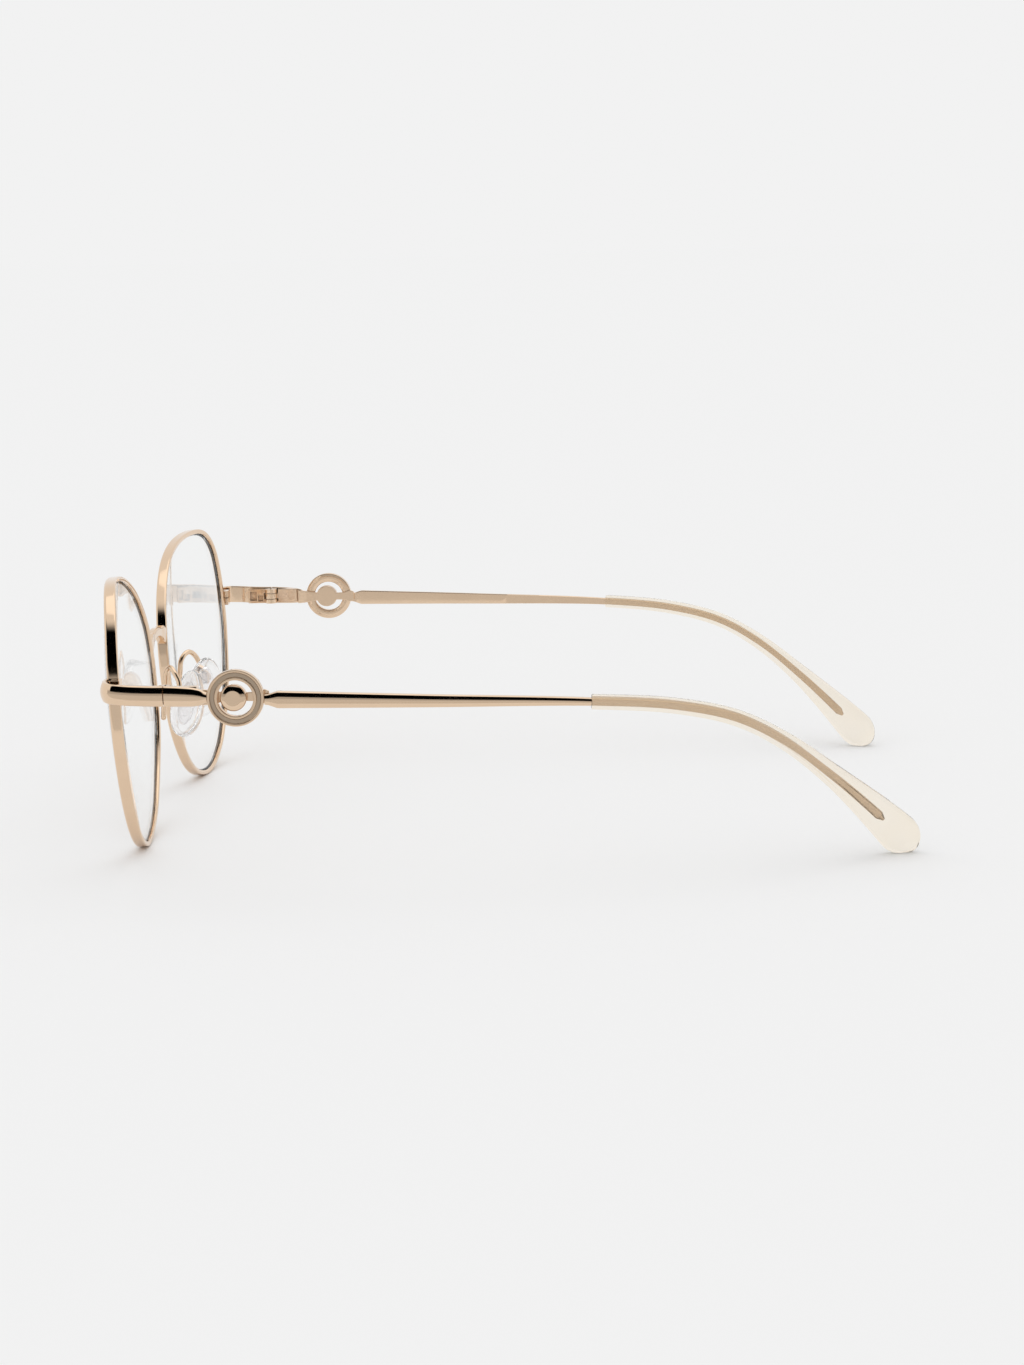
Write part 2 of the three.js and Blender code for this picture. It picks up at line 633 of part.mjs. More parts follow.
// The small clevis at the end of the arm.
function padBox() {
  const inner = LUG_THICK / 2 + CHEEK_PLAY;
  const outer = inner + CHEEK;
  const low = V(-outer, PAD_PIN.y - CLEVIS_HALF, CLEVIS_FLOOR - CLEVIS_BASE);
  const whole = block(low, V(outer, PAD_PIN.y + CLEVIS_HALF, CLEVIS_TOP));
  const past = CLEVIS_HALF + 1;
  const slot = block(V(-inner, PAD_PIN.y - past, CLEVIS_FLOOR), V(inner, PAD_PIN.y + past, 0));
  return whole.subtract(slot).subtract(round(PAD_PIN_R + PLAY, OUT, PAD_PIN, -2, 2, 16));
}

function padScrew() {
  const cheeks = LUG_THICK / 2 + CHEEK_PLAY + CHEEK;
  const low = -cheeks - PAD_HEAD - JOINT_GAP / 2;
  return screw(OUT, UP, PAD_PIN, PAD_PIN_R, PAD_HEAD_R, PAD_HEAD, low, cheeks);
}

// The wire that carries the pad: up the back of the rim, over in a loop and down to the clevis.
const ARM_END = CLEVIS_FLOOR - CLEVIS_BASE - JOINT_GAP - ARM_R; // z in the pad's own frame
const armLine = new THREE.CatmullRomCurve3([
  V(8.45, -11.15, 18.7),
  V(8.3, -11.0, 21.5),
  V(8.2, -10.6, 25.2),
  V(8.5, -10.2, 27.9),
  V(9.9, -9.1, 29.1),
  V(11.3, -8.1, 28.3),
  padPoint(0, PAD_PIN.y + 1.6, ARM_END),
  padPoint(0, PAD_PIN.y - 0.9, ARM_END),
]);

function padArm() {
  const corners = Array.from({ length: ARM_SIDES }, (_, i) => {
    const a = (i / ARM_SIDES) * 2 * Math.PI;
    return new THREE.Vector2(ARM_R * Math.cos(a), ARM_R * Math.sin(a));
  });
  const along = { steps: ARM_STEPS, extrudePath: armLine };
  return solid(new THREE.ExtrudeGeometry(new THREE.Shape(corners), along)).subtract(rimSlab());
}

// ---- Assembly -----------------------------------------------------------------------------------

// What one side is made of: a name, the solid, its material, and the frame it is drawn in.
const PIECES = [
  ["rim", rim(), GOLD],
  ["lens", lens(), LENS],
  ["end_piece", endPiece(), GOLD],
  ["rim_lock_upper", lockBlock(1), GOLD],
  ["rim_lock_lower", lockBlock(-1), GOLD],
  ["rim_lock_screw", lockScrew(), STEEL],
  ["hinge_front_leaf", frontLeaf(), GOLD],
  ["hinge_temple_leaf", templeLeaf(), GOLD],
  ["hinge_screw", hingeScrew(), STEEL],
  ["temple_plate", templePlate(), GOLD],
  ["ornament_ring", ring(), GOLD],
  ["ring_inlay", ringInlay(), INLAY],
  ["ornament_crossbar", crossbar(), GOLD],
  ["ornament_button", button(), GOLD],
  ["temple_rod", rod(), GOLD],
  ["temple_tip", tip(), ACETATE],
  ["pad_arm", padArm(), GOLD],
  ["pad_box", padBox(), GOLD, padMatrix],
  ["pad_screw", padScrew(), STEEL, padMatrix],
  ["pad_insert", padInsert(), SILICONE, padMatrix],
  ["nose_pad", nosePad(), SILICONE, padMatrix],
];

function mesh(name, geometry, material, matrix) {
  const made = new THREE.Mesh(geometry, material);
  made.name = name;
  if (matrix) made.applyMatrix4(matrix);
  return made;
}

const glasses = new THREE.Group();
glasses.name = "eyeglasses";
const left = new THREE.Group();
const right = new THREE.Group();
right.scale.x = -1;
for (const [name, made, material, matrix] of PIECES) {
  const geometry = geometryOf(made);
  left.add(mesh(`${name}_left`, geometry, material, matrix));
  right.add(mesh(`${name}_right`, geometry, material, matrix));
}
glasses.add(left, right, mesh("bridge", geometryOf(bridge()), GOLD));

const box = new THREE.Box3().setFromObject(glasses, true);
const middle = box.getCenter(V(0, 0, 0));
glasses.position.set(0, -middle.y, 0);

export default glasses;
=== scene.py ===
"""Looks for the full-rim metal eyeglasses: polished rose gold, clear lenses, pale tips, silicone pads.

Shapes are worked out in millimetres in the hinge frame: X to the wearer's left, Y back from the hinge
screws, Z up from the table. Every shape is drawn for the left side and mirrored for the right.
"""

import json
import math

import bmesh
import bpy
import numpy as np
from mathutils import Matrix, Vector


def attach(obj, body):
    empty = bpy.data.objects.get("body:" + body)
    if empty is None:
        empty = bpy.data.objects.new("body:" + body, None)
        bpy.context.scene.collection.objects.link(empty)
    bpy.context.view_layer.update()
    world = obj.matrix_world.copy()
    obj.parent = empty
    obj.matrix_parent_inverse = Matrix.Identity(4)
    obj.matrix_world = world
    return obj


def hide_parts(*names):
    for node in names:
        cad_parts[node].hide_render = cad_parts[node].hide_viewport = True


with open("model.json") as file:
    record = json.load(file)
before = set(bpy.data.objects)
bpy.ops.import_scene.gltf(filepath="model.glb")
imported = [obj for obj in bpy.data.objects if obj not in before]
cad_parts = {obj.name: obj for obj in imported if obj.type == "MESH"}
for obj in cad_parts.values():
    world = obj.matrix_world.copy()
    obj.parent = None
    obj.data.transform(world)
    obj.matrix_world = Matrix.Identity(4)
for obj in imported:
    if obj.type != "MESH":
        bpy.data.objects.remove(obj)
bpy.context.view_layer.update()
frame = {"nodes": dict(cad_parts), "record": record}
JOINTS = {joint["name"]: joint for joint in frame["record"]["behaviour"]["joints"]}
MM = 0.001
PIVOT = np.array(JOINTS["temple_left_fold"]["pos_m"]) / MM
HINGE_Y = PIVOT[1]
SIDES = {"left": 1, "right": -1}

# Rim and lens, as in the CAD
LENS_CENTRE = np.array([32.9, -15.7, 24.15])
FACE_WRAP = math.radians(3.8)
LENS_TILT = math.radians(4.1)
BASE_RADIUS = 106
UPRIGHT_RADIUS = 140
LOWER_SHARE = 0.984  # how high the lower half is drawn, so that the round wire just meets the table
RIM_DEPTH = 2.1
RIM_WALL = 0.95
RIM_SOFT = 0.42  # radius of the rim's outer corners
RIM_LIP = 0.14  # radius of its corners beside the lens
GROOVE_DEPTH = 0.4
GROOVE_HALF = 0.45
GROOVE_AT = 0.95
LENS_THICK = 1.5
LENS_PLAY = 0.09
BEVEL_HALF = 0.34
SPLIT_HEIGHT = 33.45
OUTLINE = [
    (26.1, 5), (25.3, -2.5), (23.2, -9.5), (19.2, -15.8), (13, -21.4), (4.5, -24.6), (-4.5, -24.2),
    (-13, -20.9), (-19.8, -14.7), (-24.3, -7.5), (-25.9, 1), (-25.2, 9), (-21.8, 15.4), (-15, 21),
    (-5.5, 24.4), (6, 25.7), (15.5, 24.8), (21.6, 20.6), (25, 13.5),
]

# Bridge
BRIDGE_CENTRE = np.array([0, -13.7, 34.5])
BRIDGE_REACH = 7.75
BRIDGE_DROP = 1.75  # how far its ends lie below its middle
BRIDGE_HIGH = (0.9, 1.75)  # half height at the middle and at the ends
BRIDGE_DEEP = (0.75, 0.9)

# Temple, as in the CAD
SEAM = 0.08  # gap between the end piece and the temple plate, on each side of the hinge axis
KNUCKLE_R = 1.3
JOINT_GAP = 0.05
PLATE_THICK = 1.4
PLATE_HEIGHT = 3.5
PLATE_INSIDE = PIVOT[0] + KNUCKLE_R + JOINT_GAP
PLATE_OUTSIDE = PLATE_INSIDE + PLATE_THICK
RING_CENTRE = np.array([PLATE_INSIDE, 12.4, 32.5])
RING_R = 4.9
RING_HOLE_R = 3.1
RING_THICK = 1.45
CHANNEL = (3.62, 4.42)
CHANNEL_DEEP = 0.4
CROSSBAR_THICK = 0.7
DISC_R = 2.2
DISC_AT = -0.4
BUTTON_R = 2.4
SLEEVE_AT = 55.6
CORE_HEIGHT = 1.6  # at its end; it shows wider through the tip than the CAD's
CORE_THICK = 1.0
PADDLE_R = 3.65
PADDLE_ROUND = 5  # length over which its end closes
TABLE_SOFT = 0.3  # how near the table a tip starts to flatten
PLATE_FALL = 0.85 / 18.5  # slope of the temple plate down from the hinge

# Nose pads, as in the CAD
PAD_CENTRE = np.array([9.5, -6, 22])
PAD_SPLAY = math.radians(28)
PAD_LEAN = math.radians(20)
PAD_LONG = 13
PAD_WIDE = 7.2
PAD_PIN = np.array([0, 1.5, -1.9])
LUG_R = 0.75
LUG_THICK = 0.9
LUG_TURN = 1.9  # how far its round end goes each way from its tip, in radians
INSERT_BACK = -0.86
POCKET_LONG = 8.6
POCKET_WIDE = 3.7
INSERT_LONG = 8.4
INSERT_WIDE = 3.5
BOX_WALL = 0.5
BOX_GAP = 0.12
ARM_R = 0.5

UP = np.array([0, 0, 1.0])
OUT = np.array([1.0, 0, 0])


# ---- Curves ----------------------------------------------------------------------------------


def smoothstep(x, start, stop):
    """Rises smoothly from 0 at start to 1 at stop."""
    t = min(1, max(0, (x - start) / (stop - start)))
    return t * t * (3 - 2 * t)


class Curve:
    """A Catmull-Rom curve through points, read by its length."""

    def __init__(self, points, closed=False, uniform=False, samples=300):
        pts = [np.array(p, float) for p in points]
        n = len(pts)
        spans = n if closed else n - 1
        rows = []
        for i in range(spans):
            p1 = pts[i]
            p2 = pts[(i + 1) % n]
            p0 = pts[(i - 1) % n] if closed or i else 2 * p1 - p2
            p3 = pts[(i + 2) % n] if closed or i + 2 < n else 2 * p2 - p1
            if uniform:
                t1 = 0.5 * (p2 - p0)
                t2 = 0.5 * (p3 - p1)
            else:
                gaps = ((p0, p1), (p1, p2), (p2, p3))
                d0, d1, d2 = (math.sqrt(np.linalg.norm(b - a)) for a, b in gaps)
                t1 = ((p1 - p0) / d0 - (p2 - p0) / (d0 + d1) + (p2 - p1) / d1) * d1
                t2 = ((p2 - p1) / d1 - (p3 - p1) / (d1 + d2) + (p3 - p2) / d2) * d1
            s = np.linspace(0, 1, samples, endpoint=False)[:, None]
            c2 = -3 * p1 + 3 * p2 - 2 * t1 - t2
            c3 = 2 * p1 - 2 * p2 + t1 + t2
            rows.append(p1 + t1 * s + c2 * s**2 + c3 * s**3)
        rows.append(pts[0 if closed else -1][None])
        self.rows = np.vstack(rows)
        steps = np.linalg.norm(np.diff(self.rows, axis=0), axis=1)
        self.at = np.concatenate([[0], np.cumsum(steps)])
        self.length = self.at[-1]

    def point(self, distance):
        return np.array([np.interp(distance, self.at, self.rows[:, k]) for k in range(3)])

    def along(self, distance):
        """The way the curve runs, as a unit vector."""
        step = self.length / 600
        ahead = self.point(min(self.length, distance + step))
        way = ahead - self.point(max(0, distance - step))
        return way / np.linalg.norm(way)


# ---- Meshes ----------------------------------------------------------------------------------


def loft(rings, closed=False):
    """Points and faces of a skin over a row of rings, with flat ends unless it closes on itself."""
    count = len(rings[0])
    points = [p for ring in rings for p in ring]
    faces = []
    for i in range(len(rings) if closed else len(rings) - 1):
        a = i * count
        b = (i + 1) % len(rings) * count
        for j in range(count):
            k = (j + 1) % count
            faces.append((a + j, b + j, b + k, a + k))
    if not closed:
        last = (len(rings) - 1) * count
        faces.append(tuple(range(count)))
        faces.append(tuple(last + j for j in reversed(range(count))))
    return np.array(points), faces


def piece(node, shape, finish, body, **options):
    """Makes both sides of a piece that stands for CAD node_left and node_right."""
    points, faces = shape
    return [
        one_piece(f"{node}_{side}", (points * (sign, 1, 1), faces), finish, body.format(side), **options)
        for side, sign in SIDES.items()
    ]


def one_piece(node, shape, finish, body, part="look", crease=35, bevel=None):
    """Makes a piece that rides on a body and stands for one CAD node."""
    points, faces = shape
    mesh = bpy.data.meshes.new(f"{node}_{part}")
    mesh.from_pydata([tuple(p) for p in (points + (0, HINGE_Y, 0)) * MM], [], faces)
    mesh.materials.append(finish)
    smooth_out(mesh)
    if bevel is None:
        mesh.set_sharp_from_angle(angle=math.radians(crease))
    obj = in_scene(f"{node}_{part}", mesh)
    if bevel:
        round_edges(obj, bevel)
    elif finish is not ACETATE:
        flat_stays_flat = obj.modifiers.new("even shading", "WEIGHTED_NORMAL")
        flat_stays_flat.keep_sharp = True
    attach(obj, body)
    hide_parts(node)
    finish.name.split(LOOK)[0]
    return obj


def in_scene(name, data):
    obj = bpy.data.objects.new(name, data)
    bpy.context.collection.objects.link(obj)
    return obj


def smooth_out(mesh):
    """Turns every face outwards and shades it smooth."""
    work = bmesh.new()
    work.from_mesh(mesh)
    bmesh.ops.recalc_face_normals(work, faces=work.faces)
    for face in work.faces:
        face.smooth = True
    work.to_mesh(mesh)
    work.free()


def round_edges(obj, width, segments=3):
    """Rounds the piece's sharp edges by a width in millimetres."""
    bevel = obj.modifiers.new("rounded edges", "BEVEL")
    bevel.width = width * MM
    bevel.segments = segments
    bevel.limit_method = "ANGLE"
    bevel.angle_limit = math.radians(30)
    bevel.harden_normals = True


def circle(count):
    """Unit circle as rows of cosine and sine."""
    turns = np.arange(count) / count * 2 * math.pi
    return np.stack([np.cos(turns), np.sin(turns)], axis=1)


def arc(centre, radius, start, stop, count=4):
    """Points of an arc in a plane, angles in degrees."""
    angles = np.radians(np.linspace(start, stop, count))
    return [(centre[0] + radius * math.cos(a), centre[1] + radius * math.sin(a)) for a in angles]


# ---- Materials -------------------------------------------------------------------------------

LOOK = "_look"  # after a slot's name, because the CAD's own materials have the plain name


def material(slot, colour, roughness, metallic=0.0, **sockets):
    """A Principled material. Other sockets are named with _ for each space."""
    made = bpy.data.materials.new(slot + LOOK)
    made.use_nodes = True
    shader = made.node_tree.nodes["Principled BSDF"]
    shader.inputs["Base Color"].default_value = (*colour, 1)
    shader.inputs["Roughness"].default_value = roughness
    shader.inputs["Metallic"].default_value = metallic
    for socket, value in sockets.items():
        shader.inputs[socket.replace("_", " ")].default_value = value
    return made


def noise(made, scale, detail=3.0, stretch=(1, 1, 1)):
    """A noise in the piece's own millimetres."""
    tree = made.node_tree
    where = tree.nodes.new("ShaderNodeTexCoord")
    size = tree.nodes.new("ShaderNodeMapping")
    size.inputs["Scale"].default_value = [s / MM for s in stretch]
    texture = tree.nodes.new("ShaderNodeTexNoise")
    texture.inputs["Scale"].default_value = scale
    texture.inputs["Detail"].default_value = detail
    tree.links.new(where.outputs["Object"], size.inputs["Vector"])
    tree.links.new(size.outputs["Vector"], texture.inputs["Vector"])
    return texture.outputs["Fac"]


def vary(made, socket, source, low, high):
    """Drives a socket from low to high with a 0 to 1 texture."""
    tree = made.node_tree
    spread = tree.nodes.new("ShaderNodeMapRange")
    spread.inputs["From Min"].default_value = 0.3
    spread.inputs["From Max"].default_value = 0.7
    spread.inputs["To Min"].default_value = low
    spread.inputs["To Max"].default_value = high
    tree.links.new(source, spread.inputs["Value"])
    tree.links.new(spread.outputs["Result"], tree.nodes["Principled BSDF"].inputs[socket])


def tint(made, source, first, second):
    """Blends the base colour between two with a 0 to 1 texture."""
    tree = made.node_tree
    ramp = tree.nodes.new("ShaderNodeValToRGB")
    ramp.color_ramp.elements[0].position = 0.35
    ramp.color_ramp.elements[1].position = 0.65
    ramp.color_ramp.elements[0].color = (*first, 1)
    ramp.color_ramp.elements[1].color = (*second, 1)
    tree.links.new(source, ramp.inputs["Fac"])
    tree.links.new(ramp.outputs["Color"], tree.nodes["Principled BSDF"].inputs["Base Color"])


def bump(made, source, height):
    """Raises the surface by a height in millimetres."""
    tree = made.node_tree
    node = tree.nodes.new("ShaderNodeBump")
    node.inputs["Distance"].default_value = height * MM
    node.inputs["Strength"].default_value = 1.0
    tree.links.new(source, node.inputs["Height"])
    tree.links.new(node.outputs["Normal"], tree.nodes["Principled BSDF"].inputs["Normal"])


def shade_hollows(made, reach, dark):
    """Paints shade into the base colour of deep corners: polished metal there only sees more metal, so it
    would look darker.
    """
    tree = made.node_tree
    shader = tree.nodes["Principled BSDF"]
    hollow = tree.nodes.new("ShaderNodeAmbientOcclusion")
    hollow.inputs["Distance"].default_value = reach * MM
    hollow.samples = 6
    blend = tree.nodes.new("ShaderNodeMixRGB")
    blend.inputs["Color1"].default_value = (*dark, 1)
    colour = shader.inputs["Base Color"].links[0].from_socket
    tree.links.new(hollow.outputs["AO"], blend.inputs["Fac"])
    tree.links.new(colour, blend.inputs["Color2"])
    tree.links.new(blend.outputs["Color"], shader.inputs["Base Color"])


def polished_gold():
    made = material("rose_gold", (0.81, 0.61, 0.435), 0.09, 1.0)
    vary(made, "Roughness", noise(made, 0.9, stretch=(1, 0.25, 1)), 0.06, 0.13)
    tint(made, noise(made, 0.16), (0.8, 0.6, 0.427), (0.82, 0.62, 0.443))
    bump(made, noise(made, 0.35, detail=1.0), 0.004)
    return made


# Rose gold with painted shade darkening the base colour in its recesses, for the hinge leaves and rim
# locks.
def hinge_gold():
    made = polished_gold()
    made.name = "rose_gold" + LOOK + "_hinge"
    shade_hollows(made, 0.9, (0.25, 0.15, 0.09))
    return made


def core_gold():
    """The core wire is left as it was drawn, duller than the plated bar."""
    made = material("rose_gold", (0.63, 0.5, 0.375), 0.18, 1.0)
    made.name = "rose_gold" + LOOK + "_core"
    vary(made, "Roughness", noise(made, 1.5, stretch=(1, 0.2, 1)), 0.14, 0.26)
    return made


def screw_steel():
    made = material("screw_steel", (0.72, 0.6, 0.5), 0.2, 1.0)
    vary(made, "Roughness", noise(made, 3.0), 0.15, 0.3)
    return made


def inlay():
    made = material("inlay", (0.41, 0.315, 0.225), 0.38, 0.35)
    vary(made, "Roughness", noise(made, 4.0), 0.32, 0.44)
    tint(made, noise(made, 3.0), (0.4, 0.307, 0.22), (0.42, 0.325, 0.235))
    return made


def lens_clear():
    glass = {"Transmission_Weight": 1.0, "IOR": 1.5, "Specular_IOR_Level": 0.28}
    return material("lens", (0.995, 1.0, 0.997), 0.0, **glass)


def acetate():
    made = material("acetate", (1.0, 0.93, 0.82), 0.04, Transmission_Weight=0.98, IOR=1.45)
    vary(made, "Roughness", noise(made, 0.5), 0.05, 0.1)
    tint(made, noise(made, 0.12), (1.0, 0.925, 0.805), (1.0, 0.935, 0.835))
    return made


def silicone():
    made = material("silicone", (1.0, 0.995, 0.995), 0.06, Transmission_Weight=0.9, IOR=1.4)
    vary(made, "Roughness", noise(made, 0.8), 0.08, 0.18)
    return made


def insert_plastic():
    made = material("insert", (0.96, 0.95, 0.955), 0.1, Transmission_Weight=0.85, IOR=1.5)
    vary(made, "Roughness", noise(made, 1.2), 0.06, 0.16)
    return made


GOLD = polished_gold()
HINGE_GOLD_PAINTED_SHADE = hinge_gold()
CORE_GOLD = core_gold()
STEEL = screw_steel()
INLAY = inlay()
LENS = lens_clear()
ACETATE = acetate()
SILICONE = silicone()
INSERT = insert_plastic()


# ---- Rim and lens ----------------------------------------------------------------------------

TO_FACE = np.array(Matrix.Rotation(FACE_WRAP, 3, "Z") @ Matrix.Rotation(LENS_TILT, 3, "X"))


def lens_point(u, v, depth):
    """A point of the lens's own frame: u towards the temple, v up, depth back from its front."""
    v *= LOWER_SHARE if v < 0 else 1
    back = u * u / (2 * BASE_RADIUS) + v * v / (2 * UPRIGHT_RADIUS) + depth
    return TO_FACE @ np.array([u, back, v]) + LENS_CENTRE


def outline_stations(count):
    """Places along the rim's outline, each with the way inwards."""
    curve = Curve([(u, v, 0) for u, v in OUTLINE], closed=True, uniform=True)
    stations = []
    for i in range(count):
        distance = i / count * curve.length
        way = curve.along(distance) if i else curve.rows[1] - curve.rows[0]
        way = way / np.linalg.norm(way)
        stations.append((curve.point(distance), np.array([way[1], -way[0]])))
    return stations


STATIONS = outline_stations(288)


def section(station, corners):
    """The rim's or lens's section at a station. Rows of (inset from the outline, depth)."""
    (u, v, _), inward = station
    return [
        lens_point(u + inward[0] * inset, v + inward[1] * inset, depth)
        for inset, depth in corners
    ]


def rim():
    edge = RIM_SOFT
    lip = RIM_LIP
    groove = [
        (RIM_WALL, GROOVE_AT + GROOVE_HALF),
        (RIM_WALL - GROOVE_DEPTH, GROOVE_AT),
        (RIM_WALL, GROOVE_AT - GROOVE_HALF),
    ]
    corners = arc((edge, edge), edge, 270, 180, 7)
    corners += arc((edge, RIM_DEPTH - edge), edge, 180, 90, 7)
    corners += arc((RIM_WALL - lip, RIM_DEPTH - lip), lip, 90, 0)
    corners += groove
    corners += arc((RIM_WALL - lip, lip), lip, 0, -90)
    return loft([section(s, corners) for s in STATIONS], closed=True)


def lens():
    edge = RIM_WALL + LENS_PLAY
    front = GROOVE_AT - LENS_THICK / 2
    back = GROOVE_AT + LENS_THICK / 2
    tip = RIM_WALL - GROOVE_DEPTH + LENS_PLAY
    bevel = [
        (edge, front), (edge, GROOVE_AT - BEVEL_HALF), (tip, GROOVE_AT),
        (edge, GROOVE_AT + BEVEL_HALF), (edge, back),
    ]
    shares = [0.04, 0.2, 0.4, 0.6, 0.78, 0.9]

    def inside(share, depth):
        return [lens_point(at[0] * share, at[1] * share, depth) for at, _ in STATIONS]

    rings = [inside(share, front) for share in shares]
    rings += [[section(s, [corner])[0] for s in STATIONS] for corner in bevel]
    rings += [inside(share, back) for share in reversed(shares)]
    return loft(rings)


# ---- Bars of the front and temples -----------------------------------------------------------


def bar_profile(crown):
    """Profile of a bar one high and one thick: flat inside, crowned outside. Rows of (height, out)."""
    face = [(h, 0.5 - crown * (h / 0.42) ** 2) for h in np.linspace(0.42, -0.42, 15)]
    edge = 0.5 - crown
    shoulder = [(0.485, edge - 0.13), (0.46, edge - 0.045)]
    outer = shoulder + face + [(-h, t) for h, t in reversed(shoulder)]
    inner = [(-0.5, edge - 0.22), (-0.5, -0.38), (-0.485, -0.45), (-0.44, -0.5)]
    return outer + inner + [(-h, t) for h, t in reversed(inner)]


PLATE_BAR = bar_profile(0.24)
ROD_BAR = bar_profile(0.17)


def bar_ring(middle, across, up, high, thick, bar=PLATE_BAR):
    return [middle + up * (h * high) + across * (t * thick) for h, t in bar]


def end_piece():
    """The bar from the rim round to the hinge; its line is its outer face."""
    outside = Curve([
        (61.35, -11.75, 0), (64.3, -11.3, 0), (66.5, -9.7, 0),
        (PLATE_OUTSIDE, -6.9, 0), (PLATE_OUTSIDE, -4, 0), (PLATE_OUTSIDE, -SEAM, 0),
    ])
    rings = []
    steps = 48
    for i in range(steps + 1):
        share = i / steps
        along = outside.along(share * outside.length)
        if i == 0:
            along = OUT
        across = np.array([along[1], -along[0], 0])
        middle = outside.point(share * outside.length) - across * (PLATE_THICK / 2)
        middle[2] = SPLIT_HEIGHT + (PIVOT[2] - SPLIT_HEIGHT) * smoothstep(share, 0.2, 1)
        rings.append(bar_ring(middle, across, UP, PLATE_HEIGHT, PLATE_THICK))
    return loft(rings)


def temple_plate():
    """The bar from the hinge to the ring, which narrows to a neck. Rows of (y, height)."""
    neck = RING_CENTRE[1] - RING_R - JOINT_GAP
    rows = [(SEAM, PLATE_HEIGHT), (3, 3.4), (5.2, 3.15), (6.3, 2.7), (7, 2.0), (neck, 1.8)]
    outline = Curve([(y, high, 0) for y, high in rows])
    x = PLATE_INSIDE + PLATE_THICK / 2
    rings = []
    for distance in np.linspace(0, outline.length, 40):
        y, high, _ = outline.point(distance)
        middle = np.array([x, y, PIVOT[2] - PLATE_FALL * y])
        rings.append(bar_ring(middle, OUT, UP, high, PLATE_THICK))
    return loft(rings)


ROD_LINE = Curve([
    (66.55, 17.35, 32.1), (66.1, 45.5, 31.25), (64.4, 72.7, 30.3), (62.2, 87, 28.95), (59.9, 97.5, 26.25),
    (57.5, 106, 21.5), (55.1, 114, 15), (52.8, 121, 8.45), (50.2, 128.6, 0.6),
])
CORE_STOP = 8.4  # from the core's end to the end of the tip
CORE_POINT = 1.2  # length of its pointed end
CORE_END = ROD_LINE.length - CORE_STOP
CORE_START = SLEEVE_AT - 0.05
TIP_LENGTH = ROD_LINE.length - SLEEVE_AT


def line_frame(distance):
    """Where the rod's line is after a distance, with the ways out and up from it."""
    along = ROD_LINE.along(distance)
    across = OUT - along * (OUT @ along)
    across /= np.linalg.norm(across)
    return ROD_LINE.point(distance), across, np.cross(across, along)


def profile(rows, distance):
    """Height and thickness, or half of each, between rows of (distance, height, thickness)."""
    return [np.interp(distance, rows[:, 0], rows[:, k]) for k in range(1, rows.shape[1])]


ROD_PROFILE = np.array([
    (0, 1.8, 1.3), (0.6, 1.9, 1.35), (2.2, 2.95, 1.4), (CORE_START, 1.4, 1.2),
])
CORE_PROFILE = np.array([
    (CORE_START, 1.1, 0.9), (SLEEVE_AT + 40, 1.2, 0.9),
    (CORE_END - CORE_POINT, CORE_HEIGHT, CORE_THICK), (CORE_END, 0.5, 0.6),
])


def temple_rod():
    start = np.linspace(0, 3, 13)
    bar = np.linspace(4, CORE_START, 40)
    return bar_along((*start, *bar), ROD_PROFILE)


def core_wire():
    """The rod's thin end, inside the tip."""
    wire = np.linspace(CORE_START, CORE_END - CORE_POINT, 120)
    end = np.linspace(CORE_END - 1, CORE_END, 6)
    return bar_along((*wire, *end), CORE_PROFILE)


def bar_along(distances, rows):
    """A bar on the rod's line, as high and thick as the rows of its profile say."""
    rings = []
    for distance in distances:
        high, thick = profile(rows, distance)
        rings.append(bar_ring(*line_frame(distance), high, thick, ROD_BAR))
    return loft(rings)


TIP_PROFILE = Curve([
    (0, 1.3, 1.25), (20, 1.4, 1.25), (35, 1.55, 1.25), (45, 1.9, 1.2), (52, 2.5, 1.15), (58, 3.15, 1.1),
    (TIP_LENGTH - PADDLE_R, PADDLE_R, 1.05), (TIP_LENGTH, PADDLE_R, 1.0),
]).rows


def rounded_box(high, thick, corner, steps=9):
    """Half-sized box outline with round corners, as rows of (height, out)."""
    rows = []
    for k, (up, out) in enumerate(((1, 1), (-1, 1), (-1, -1), (1, -1))):
        centre = (up * (high - corner), out * (thick - corner))
        rows += arc(centre, corner, 90 * k, 90 * k + 90, steps)
    return rows


def tip_ring(distance, size=1.0):
    """The tip's section; past the start of its round end it closes along an ellipse."""
    high, thick = profile(TIP_PROFILE, distance)
    past = max(0, (distance - (TIP_LENGTH - PADDLE_ROUND)) / PADDLE_ROUND)
    close = size * math.sqrt(max(0, 1 - past * past))
    thick *= max(close, 0.02) ** 0.35
    high = max(high * close, 0.05)
    at, across, up = line_frame(SLEEVE_AT + distance)
    corner = min(0.8 * thick, 0.95 * high)
    return [at + up * rise + across * out for rise, out in rounded_box(high, thick, corner, 12)]


def standing(point):
    """Nothing reaches below the table: what would is turned up gently."""
    x, y, z = point
    return np.array([x, y, (z + math.hypot(z, TABLE_SOFT)) / 2])


def temple_tip():
    """Moulded over the rod's core, so the two touch all along it."""
    body = np.linspace(0.15, TIP_LENGTH - PADDLE_ROUND, 260)
    turn = np.linspace(0, math.pi / 2, 40)[1:] * 0.985
    end = TIP_LENGTH - PADDLE_ROUND * (1 - np.sin(turn))
    mouth = [tip_ring(0, 0.9)]
    rings = mouth + [tip_ring(d) for d in (*body, *end)]
    return loft([[standing(point) for point in ring] for ring in rings])


def bridge():
    """An arched bar that flares towards the rims."""
    rings = []
    for share in np.linspace(-1, 1, 49):
        flare = smoothstep(abs(share), 0.45, 0.85)
        high, deep = (middle + (end - middle) * flare for middle, end in (BRIDGE_HIGH, BRIDGE_DEEP))
        at = BRIDGE_CENTRE + (share * BRIDGE_REACH, 0, -BRIDGE_DROP * share * share)
        box = rounded_box(high, deep, 0.45 * deep, 5)
        rings.append([at + (0, out, rise) for rise, out in box])
    return loft(rings)


# ---- Ring ornament ---------------------------------------------------------------------------


